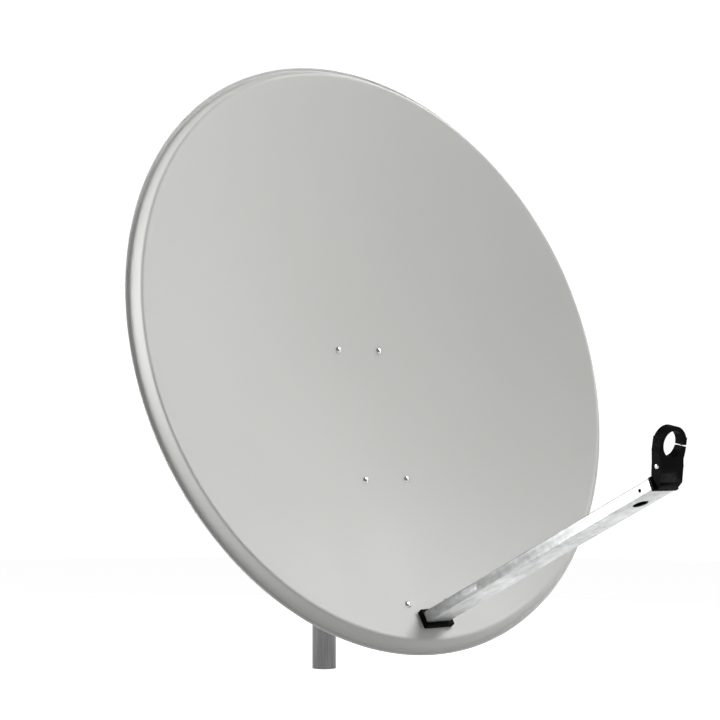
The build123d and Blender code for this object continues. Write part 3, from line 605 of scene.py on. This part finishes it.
def degrees(bm):
    """Inked degree marks and figures of the elevation scale."""
    def spot(reading, r, aside=0.0):
        a = math.radians(reading - BEAM_AT_REST)
        down = Vector((0, -math.sin(a), -math.cos(a)))
        along = Vector((0, -math.cos(a), math.sin(a)))
        return (PIVOT_AT - SIDE * 63.84 + down * r + along * aside) * MM, down, along

    for reading in range(22, 57, 2):
        inner, outer, half = 96.2 if reading % 10 else 94.2, 98.4, 0.2
        corners = [spot(reading, r, w)[0] for r, w in ((inner, -half), (inner, half),
                                                       (outer, half), (outer, -half))]
        bm.faces.new([bm.verts.new(c) for c in corners]).material_index = 1
        if reading % 10:
            continue
        curve = bpy.data.curves.new("figure", "FONT")
        curve.body = str(reading)
        curve.size = 3.4 * MM
        curve.align_x = "CENTER"
        curve.align_y = "CENTER"
        holder = bpy.data.objects.new("figure", curve)
        mesh = holder.to_mesh()
        at, down, along = spot(reading, 91.8)
        # The figures stand upright on the -X face and run towards +Y, which mirrors them
        turn = Matrix((-along, -down, -SIDE)).transposed().to_4x4()
        turn.translation = at
        mesh.transform(turn)
        before = set(bm.faces)
        bm.from_mesh(mesh)
        for face in bm.faces:
            if face not in before:
                face.material_index = 1
        holder.to_mesh_clear()
        bpy.data.objects.remove(holder)
        bpy.data.curves.remove(curve)


def channel_bend(half, n):
    """Tests whether a point lies on a bend of a channel behind the dish."""
    return lambda p: abs(abs(p.x) - half) < 0.05 and abs((p - RIM).dot(DISH_N) - n) < 0.05


def bracket_bend(half, y):
    """Tests whether a point lies on a bend of the mast bracket."""
    return lambda p: abs(abs(p.x) - half) < 0.05 and abs(p.y - y) < 0.05


def carry_over():
    """Pieces made from the CAD meshes: bevel width and segments end each row."""
    plastic = (PLASTIC, "dish", "black_plastic")
    sheet = (ZINC_SHEET, "dish", "zinc_sheet")
    head_sheet = (ZINC_SHEET, "head", "zinc_sheet")
    rear_bends = ((channel_bend(60, WEB_BACK), 3.4), (channel_bend(57.5, WEB_FRONT), 1.0))
    support_bends = ((channel_bend(28, SUPPORT_BACK), 3.4), (channel_bend(25.5, WEB_BACK), 1.0))
    mast_bends = ((bracket_bend(63, -33), 3.4), (bracket_bend(60.5, -35.5), 0.4))
    for node, name, finish, width, segments, options in (
            ("arm_grommet", "arm_grommet_frame", plastic, 0.9, 3, {}),
            ("feed_arm", "feed_arm_tube", (ZINC_ARM, "dish", "zinc_tube"), 0.25, 2, {"angle": 50}),
            ("arm_rear_plug", "arm_rear_plug_cap", plastic, 0.6, 2, {}),
            ("rear_bracket", "rear_bracket_sheet", sheet, 0.4, 2, {"bends": rear_bends}),
            ("reflector_spacers", "reflector_spacer_cups", plastic, 0.6, 2, {}),
            ("arm_support", "arm_support_sheet", sheet, 0.4, 2, {"bends": support_bends}),
            ("lnb_holder", "lnb_holder_body", plastic, 0.7, 3, {"extra": grip(-12.5, -3.2)}),
            ("lnb_clamp_cap", "lnb_clamp_cap_half", plastic, 0.7, 3, {"extra": grip(-1.8, 9.0)}),
            ("mast_bracket", "mast_bracket_sheet", head_sheet, 0.4, 2, {"bends": mast_bends}),
            ("mast_saddles", "mast_saddle_castings", (CAST, "head", "cast_saddle"), 0.7, 3, {}),
            ("clamp_jaws", "clamp_jaw_straps", head_sheet, 0.6, 2, {}),
            ("mast_tube", "mast_tube_steel", (TUBE, "mast", "zinc_tube"), 0.3, 2, {}),
            ("mast_cap", "mast_cap_plug", (PLASTIC, "mast", "black_plastic"), 0.5, 2, {}),
            ("elevation_scale", "elevation_scale_plate", (PLATE, "head", "scale_plate"), 0.12, 1,
             {"extra": degrees}),
            ("elevation_pointer", "elevation_pointer_blade", (BRIGHT, "dish", "zinc_fastener"),
             0.2, 2, {})):
        piece = from_cad(node, name, *finish, width, segments, **options)
        if node == "elevation_scale":
            piece.data.materials.append(INK)


# ------------------------------------------------------------ fasteners
def fasteners():
    """Bolts, screws, washers and nuts off the face; hexagons stand at random turns."""
    piece = {name: bmesh.new() for name in (
        "support_bolts", "support_nuts", "arm_cross_bolts", "arm_cross_nuts", "lnb_clamp_screw",
        "lnb_clamp_nut", "holder_bolt", "holder_nut", "elevation_washers", "elevation_bolts",
        "elevation_nuts", "clamp_bolts", "clamp_washers", "clamp_nuts")}

    def turned(place):
        return place @ Matrix.Rotation(rng.uniform(0, math.pi), 4, "Z")

    def m8_nut(washers, nuts, place, outer=M8_WASHER, top=8.0):
        washer(piece[washers], place, M8_HOLE, outer, M8_WASHER_HIGH)
        hexagon(piece[nuts], turned(place), M8_ACROSS, M8_WASHER_HIGH, top, M8)

    for v in (-206.0, -240.0):
        hex_bolt(piece["support_bolts"], turned(basis(dish(0, v, WEB_FRONT), DISH_N)), 18.0)
        m8_nut("support_nuts", "support_nuts", basis(dish(0, v, SUPPORT_BACK), -DISH_N))
    for s in (-432.0, -464.0):
        hex_bolt(piece["arm_cross_bolts"], turned(basis(arm(s, 0, -28), -SIDE)), 68.0)
        m8_nut("arm_cross_nuts", "arm_cross_nuts", basis(arm(s, 0, 28), SIDE))

    clamp_top = basis(ring_at(HOLDER_HALF, 9, 0), RING_UP)
    machine_screw(piece["lnb_clamp_screw"], clamp_top, 1.75, 3.2, 2.6, 26)
    clamp_low = basis(ring_at(HOLDER_HALF, -12.6, 0), RING_UP, SIDE)
    square_nut(piece["lnb_clamp_nut"], clamp_low, 6.0, 2.4, 1.75)
    left, right = (ring_at(u, HOLDER_BOLT_UP, HOLDER_BOLT_OUT) for u in (-HOLDER_HALF, HOLDER_HALF))
    machine_screw(piece["holder_bolt"], basis(left, -SIDE), 2.5, 4.3, 3.2, 53.9)
    hexagon(piece["holder_nut"], basis(right, SIDE), 8.0, 0, 4.5, 2.5)

    for side in (1, -1):
        out = SIDE * side
        for at in (PIVOT_AT, LOCK_AT):
            # The lock bolt at -X also holds the pointer, which is 1 thick
            face = 65.75 if at is LOCK_AT and side < 0 else 64.75
            washer(piece["elevation_washers"], basis((at + out * 63.15) * MM, out),
                   M8_HOLE, 9.5, M8_WASHER_HIGH)
            hex_bolt(piece["elevation_bolts"], turned(basis((at + out * face) * MM, out)), face - 46)
            m8_nut("elevation_nuts", "elevation_nuts", basis((at + out * 57.5) * MM, -out))

    for x in (-36.5, 36.5):
        for z in (405.0, 508.0):
            head = basis(Vector((x, -35.5, z)) * MM, Vector((0, -1, 0)))
            lathe(piece["clamp_bolts"], head, [
                (0, 4.4), (2.4, 4.28), (4.6, 3.8), (6.4, 2.85), (7.6, 1.6), (8.15, 0.5),
                (8.2, 0.1), (8.0, 0), (0, 0)], 44)
            thread(piece["clamp_bolts"], head @ HALF_TURN, M8, -0.5, 61.5, 1.25)
            rear = basis(Vector((x, 10, z)) * MM, Vector((0, 1, 0)))
            m8_nut("clamp_washers", "clamp_nuts", rear, 8.0, 8.1)
    for name, bm in piece.items():
        body = "head" if name.startswith("clamp_") else "dish"
        make(name + "_plated", bm, BRIGHT, body, name)


build_reflector()
face_bolts()
carry_over()
fasteners()


# ------------------------------------------------------------ floor, light, camera
def studio():
    """A lit white floor, and a white dome round the set that reflections don't show."""
    mat, tree, shader = nodes_of("studio_paper")
    tint(tree, shader, noise(tree, coords(tree), 900.0, 3.0), 0.3, 0.7, (0.28, 0.28, 0.28),
         (0.31, 0.31, 0.31))
    # The paper glows, as a light table does
    for socket, value in (("Roughness", 0.9), ("Specular IOR Level", 0.0),
                          ("Emission Color", (1, 1, 1, 1)), ("Emission Strength", 0.97)):
        shader.inputs[socket].default_value = value
    floor_z, middle, bend, radius = -0.5, 7000, 1500, 8500
    corner = [math.radians(d) for d in range(10, 91, 10)]
    vault = [math.radians(d) for d in range(10, 90, 10)]
    dome = ([(middle, floor_z)]
            + [(middle + bend * math.sin(t), bend - bend * math.cos(t)) for t in corner]
            + [(radius * math.cos(t), bend + 7500 * math.sin(t)) for t in vault])
    for name, profile, inner, pole_z, glossy in (
            ("studio_floor", [(3000, floor_z), (middle, floor_z)], 0, floor_z, True),
            ("studio_dome", dome, -1, 9000, False)):
        bm = bmesh.new()
        loops = [circle(bm, Matrix.Identity(4), z, 96, lambda turn: r) for r, z in profile]
        ring_faces(bm, loops)
        pole = bm.verts.new((0, 0, pole_z * MM))
        rim = loops[inner]
        for i in range(len(rim)):
            bm.faces.new((rim[i], rim[(i + 1) % len(rim)], pole))
        mesh = bpy.data.meshes.new(name)
        bm.to_mesh(mesh)
        bm.free()
        for poly in mesh.polygons:
            poly.use_smooth = True
        obj = bpy.data.objects.new(name, mesh)
        bpy.context.scene.collection.objects.link(obj)
        mesh.materials.append(mat)
        obj.visible_diffuse = False
        obj.visible_shadow = False
        obj.visible_glossy = glossy


def soft_box(name, at, aim, size, watts):
    data = bpy.data.lights.new(name, "AREA")
    data.shape = "RECTANGLE"
    data.size = data.size_y = size
    data.energy = watts
    obj = bpy.data.objects.new(name, data)
    obj.location = at
    obj.rotation_euler = (aim - at).to_track_quat("-Z", "Y").to_euler()
    bpy.context.scene.collection.objects.link(obj)


def direction(side, up):
    """Unit vector to a place seen from the dish, from its bearing and rise in radians."""
    return Vector((math.sin(side) * math.cos(up), -math.cos(side) * math.cos(up), math.sin(up)))


studio()

# Each box: degrees to the right of the camera, degrees up, watts, size in metres
CAMERA_SIDE, CAMERA_UP, CAMERA_FAR = -36.32, -1.96, 3.3174
BOX_AIM, BOX_FAR = Vector((0, -0.3, 0.55)), 3.2
for name, side, up, watts, size in (
        ("left_box", 270, 10, 165, 3.0), ("left_front_box", 300, 10, 35, 1.8),
        ("left_low_box", 270, -25, 17, 1.8), ("right_box", 106, 48, 92, 1.8),
        ("right_fill", 90, 10, 16, 1.8), ("right_low_box", 90, -25, 14, 1.8)):
    way = direction(math.radians(side + CAMERA_SIDE), math.radians(up))
    soft_box(name, BOX_AIM + way * BOX_FAR, BOX_AIM, size, watts)

# The air round the set is brighter below the horizon than above it
world = bpy.data.worlds.new("studio")
bpy.context.scene.world = world
world.use_nodes = True
tree = world.node_tree
height = add(tree, "ShaderNodeSeparateXYZ")
link(tree, add(tree, "ShaderNodeTexCoord"), "Generated", height, "Vector")
background = tree.nodes["Background"]
link(tree, span(tree, height, "Z", -0.1, 0.1, 0.40, 0.22), "Result", background, "Strength")
background.inputs["Color"].default_value = (1, 1, 1, 1)
bpy.context.scene.view_settings.view_transform = "Standard"

camera = bpy.data.objects.new("camera", bpy.data.cameras.new("camera"))
bpy.context.scene.collection.objects.link(camera)
back = direction(math.radians(CAMERA_SIDE), math.radians(CAMERA_UP))
camera.location = (RIM + Vector((-60.3, 0, -27.2))) * MM + back * CAMERA_FAR
camera.rotation_euler = (-back).to_track_quat("-Z", "Y").to_euler()
camera.data.sensor_width = 36.0
camera.data.lens = 94.4
camera.data.clip_end = 100
bpy.context.scene.camera = camera
